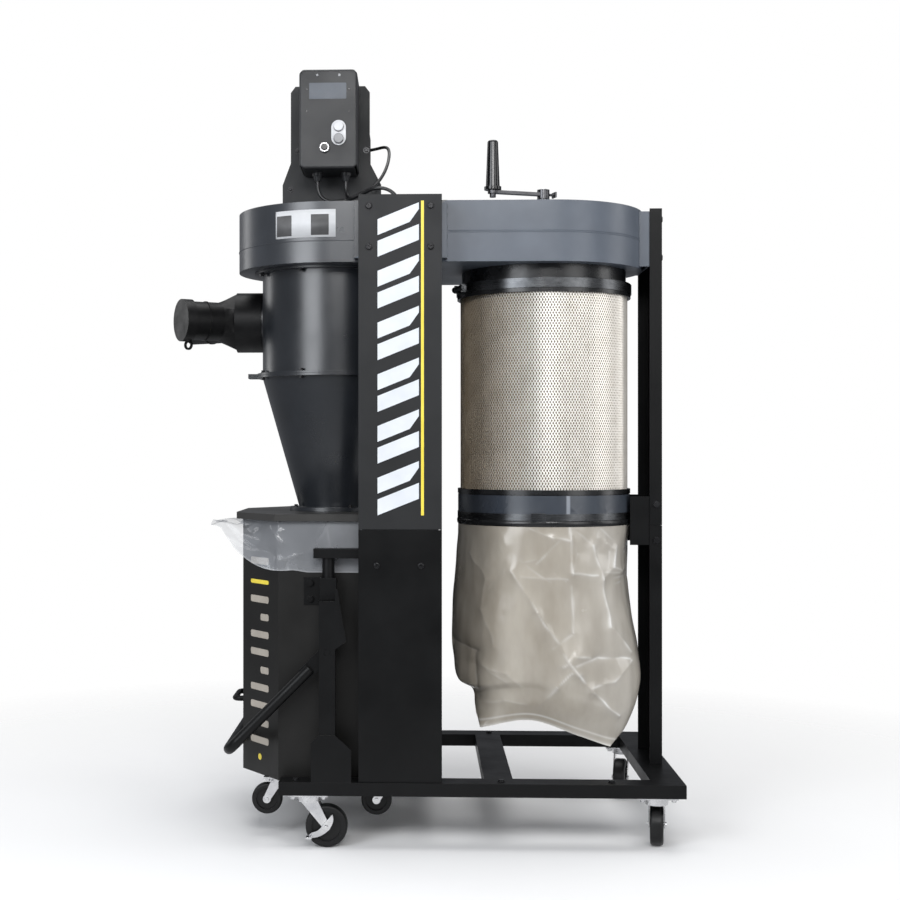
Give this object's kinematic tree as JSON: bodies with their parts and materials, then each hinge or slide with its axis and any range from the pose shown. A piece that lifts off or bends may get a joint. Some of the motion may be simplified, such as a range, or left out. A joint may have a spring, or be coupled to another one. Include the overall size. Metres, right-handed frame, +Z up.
{
  "type": "cyclone dust collector",
  "caption": "Two-stage cyclone dust collector on a caster base, with a roll-out bin, a lift lever, a pleated filter, a dust bag and a cleaning crank.",
  "frame": {"origin": "on the floor, under the middle of the machine's outline without its power cord", "axes": "+X from the cyclone to the filter, +Y to the back, +Z up"},
  "size_m": [1.29, 0.8373, 1.901],
  "materials": {
    "frame_paint": "semi-gloss powder coat, near black",
    "housing_paint": "satin powder coat, near black",
    "black_bolt": "black oxide, slightly glossy",
    "motor_paint": "painted black over a finned aluminium case",
    "steel": "bright machined steel",
    "black_plastic": "moulded black plastic, fine grain",
    "clear_film": "clear creased polythene film",
    "bag_film": "translucent glossy polythene film",
    "handle_steel": "bright plated steel",
    "filter_paper": "pleated cream filter paper",
    "mesh_steel": "galvanised expanded-metal mesh",
    "clamp_steel": "steel bands, strap and T-bolt",
    "grip_plastic": "glossy black phenolic",
    "button_white": "glossy moulded plastic, pale with a grey rim",
    "button_grey": "glossy moulded plastic",
    "button_black": "glossy moulded plastic",
    "zinc": "bright zinc plate",
    "caster_rubber": "hard black rubber",
    "cable_rubber": "round black jacket",
    "plug_rubber": "moulded black plug, brass blades"
  },
  "bodies": {
    "frame": {"base_frame": "frame_paint", "front_column_lower": "frame_paint", "front_column_upper": "frame_paint", "rear_column": "frame_paint", "right_post": "frame_paint", "frame_brackets": "frame_paint", "fasteners": "black_bolt", "fan_housing": "housing_paint", "filter_plenum": "housing_paint", "motor_stand": "frame_paint", "motor_body": "motor_paint", "cyclone_barrel": "housing_paint", "cyclone_cone": "housing_paint", "vortex_tube": "housing_paint", "inlet_adapter": "black_plastic", "bin_lid": "housing_paint", "lift_posts": "frame_paint", "filter_top_ring": "housing_paint", "filter_media": "filter_paper", "filter_mesh": "mesh_steel", "filter_bottom_ring": "housing_paint", "filter_bag": "bag_film", "band_clamps": "clamp_steel", "control_box": "black_plastic", "base_caster_plates": "zinc", "motor_cable": "cable_rubber", "power_cord": "cable_rubber", "power_cord_coil": "cable_rubber", "power_plug": "plug_rubber"},
    "fan": {"impeller": "steel"},
    "crank": {"cleaning_rotor": "steel", "crank_arm": "steel"},
    "crank_grip": {"crank_handle": "grip_plastic"},
    "cap": {"port_cap": "black_plastic"},
    "start": {"start_button": "button_white"},
    "stop": {"stop_button": "button_grey"},
    "reset": {"reset_button": "button_black"},
    "lever": {"lift_lever": "frame_paint"},
    "bin": {"collection_bin": "housing_paint", "bin_bag": "clear_film", "bin_handle": "handle_steel", "lift_carriages": "frame_paint", "bin_caster_plates": "zinc"},
    "pedal": {"brake_pedal": "zinc"},
    "base_fork_front_left": {"base_fork_front_left": "zinc"},
    "base_wheel_front_left": {"base_wheel_front_left": "caster_rubber"},
    "base_fork_front_right": {"base_fork_front_right": "zinc"},
    "base_wheel_front_right": {"base_wheel_front_right": "caster_rubber"},
    "base_fork_rear_left": {"base_fork_rear_left": "zinc"},
    "base_wheel_rear_left": {"base_wheel_rear_left": "caster_rubber"},
    "base_fork_rear_right": {"base_fork_rear_right": "zinc"},
    "base_wheel_rear_right": {"base_wheel_rear_right": "caster_rubber"},
    "bin_fork_front_left": {"bin_fork_front_left": "zinc"},
    "bin_wheel_front_left": {"bin_wheel_front_left": "caster_rubber"},
    "bin_fork_front_right": {"bin_fork_front_right": "zinc"},
    "bin_wheel_front_right": {"bin_wheel_front_right": "caster_rubber"},
    "bin_fork_rear_left": {"bin_fork_rear_left": "zinc"},
    "bin_wheel_rear_left": {"bin_wheel_rear_left": "caster_rubber"},
    "bin_fork_rear_right": {"bin_fork_rear_right": "zinc"},
    "bin_wheel_rear_right": {"bin_wheel_rear_right": "caster_rubber"}
  },
  "joints": [
    {"name": "fan_spin", "type": "hinge", "parent": "frame", "child": "fan", "pos_m": [-0.207, 0, 1.5], "axis": [0, 0, 1], "continuous": true},
    {"name": "crank_turn", "type": "hinge", "parent": "frame", "child": "crank", "pos_m": [0.335, 0, 1.58], "axis": [0, 0, 1], "continuous": true},
    {"name": "crank_grip_spin", "type": "hinge", "parent": "crank", "child": "crank_grip", "pos_m": [0.201, -0.04601, 1.69], "axis": [0, 0, 1], "continuous": true},
    {"name": "cap_pull", "type": "slide", "parent": "frame", "child": "cap", "axis": [-0.866, -0.5, 0], "range_m": [0, 0.05]},
    {"name": "start_press", "type": "slide", "parent": "frame", "child": "start", "axis": [0, 1, 0], "range_m": [0, 0.0028], "stiffness_N_per_m": 350},
    {"name": "stop_press", "type": "slide", "parent": "frame", "child": "stop", "axis": [0, 1, 0], "range_m": [0, 0.0028], "stiffness_N_per_m": 350},
    {"name": "reset_press", "type": "slide", "parent": "frame", "child": "reset", "axis": [0, 1, 0], "range_m": [0, 0.0025], "stiffness_N_per_m": 350},
    {"name": "lever_swing", "type": "hinge", "parent": "frame", "child": "lever", "pos_m": [-0.21, 0, 0.473], "axis": [0, 1, 0], "range_deg": [0, 70]},
    {"name": "bin_lift", "type": "slide", "parent": "frame", "child": "bin", "axis": [0, 0, -1], "range_m": [0, 0.0551]},
    {"name": "brake_press", "type": "hinge", "parent": "base_fork_front_left", "child": "pedal", "pos_m": [-0.213, -0.318, 0.051], "axis": [0, -1, 0], "range_deg": [0, 20]},
    {"name": "base_swivel_front_left", "type": "hinge", "parent": "frame", "child": "base_fork_front_left", "pos_m": [-0.256, -0.296, 0.102], "axis": [0, 0, 1], "continuous": true},
    {"name": "base_roll_front_left", "type": "hinge", "parent": "base_fork_front_left", "child": "base_wheel_front_left", "pos_m": [-0.213, -0.296, 0.051], "axis": [0, 1, 0], "continuous": true},
    {"name": "base_swivel_front_right", "type": "hinge", "parent": "frame", "child": "base_fork_front_right", "pos_m": [0.58, -0.296, 0.102], "axis": [0, 0, 1], "continuous": true},
    {"name": "base_roll_front_right", "type": "hinge", "parent": "base_fork_front_right", "child": "base_wheel_front_right", "pos_m": [0.58747, -0.25365, 0.051], "axis": [-0.9848, 0.1736, 0], "continuous": true},
    {"name": "base_swivel_rear_left", "type": "hinge", "parent": "frame", "child": "base_fork_rear_left", "pos_m": [-0.256, 0.296, 0.102], "axis": [0, 0, 1], "continuous": true},
    {"name": "base_roll_rear_left", "type": "hinge", "parent": "base_fork_rear_left", "child": "base_wheel_rear_left", "pos_m": [-0.21316, 0.29225, 0.051], "axis": [0.0872, 0.9962, 0], "continuous": true},
    {"name": "base_swivel_rear_right", "type": "hinge", "parent": "frame", "child": "base_fork_rear_right", "pos_m": [0.58, 0.296, 0.102], "axis": [0, 0, 1], "continuous": true},
    {"name": "base_roll_rear_right", "type": "hinge", "parent": "base_fork_rear_right", "child": "base_wheel_rear_right", "pos_m": [0.5696, 0.25428, 0.051], "axis": [0.9703, -0.2419, 0], "continuous": true},
    {"name": "bin_swivel_front_left", "type": "hinge", "parent": "bin", "child": "bin_fork_front_left", "pos_m": [-0.34, -0.2, 0.131], "axis": [0, 0, 1], "continuous": true},
    {"name": "bin_roll_front_left", "type": "hinge", "parent": "bin_fork_front_left", "child": "bin_wheel_front_left", "pos_m": [-0.367, -0.2, 0.093], "axis": [0, -1, 0], "continuous": true},
    {"name": "bin_swivel_front_right", "type": "hinge", "parent": "bin", "child": "bin_fork_front_right", "pos_m": [-0.068, -0.2, 0.131], "axis": [0, 0, 1], "continuous": true},
    {"name": "bin_roll_front_right", "type": "hinge", "parent": "bin_fork_front_right", "child": "bin_wheel_front_right", "pos_m": [-0.095, -0.2, 0.093], "axis": [0, -1, 0], "continuous": true},
    {"name": "bin_swivel_rear_left", "type": "hinge", "parent": "bin", "child": "bin_fork_rear_left", "pos_m": [-0.34, 0.2, 0.131], "axis": [0, 0, 1], "continuous": true},
    {"name": "bin_roll_rear_left", "type": "hinge", "parent": "bin_fork_rear_left", "child": "bin_wheel_rear_left", "pos_m": [-0.36674, 0.20376, 0.093], "axis": [-0.1392, -0.9903, 0], "continuous": true},
    {"name": "bin_swivel_rear_right", "type": "hinge", "parent": "bin", "child": "bin_fork_rear_right", "pos_m": [-0.068, 0.2, 0.131], "axis": [0, 0, 1], "continuous": true},
    {"name": "bin_roll_rear_right", "type": "hinge", "parent": "bin_fork_rear_right", "child": "bin_wheel_rear_right", "pos_m": [-0.09485, 0.19718, 0.093], "axis": [0.1045, -0.9945, 0], "continuous": true}
  ],
  "couplings": [
    {"joint": "bin_lift", "follows": "lever_swing", "m_per_rad": 0.045018}
  ]
}
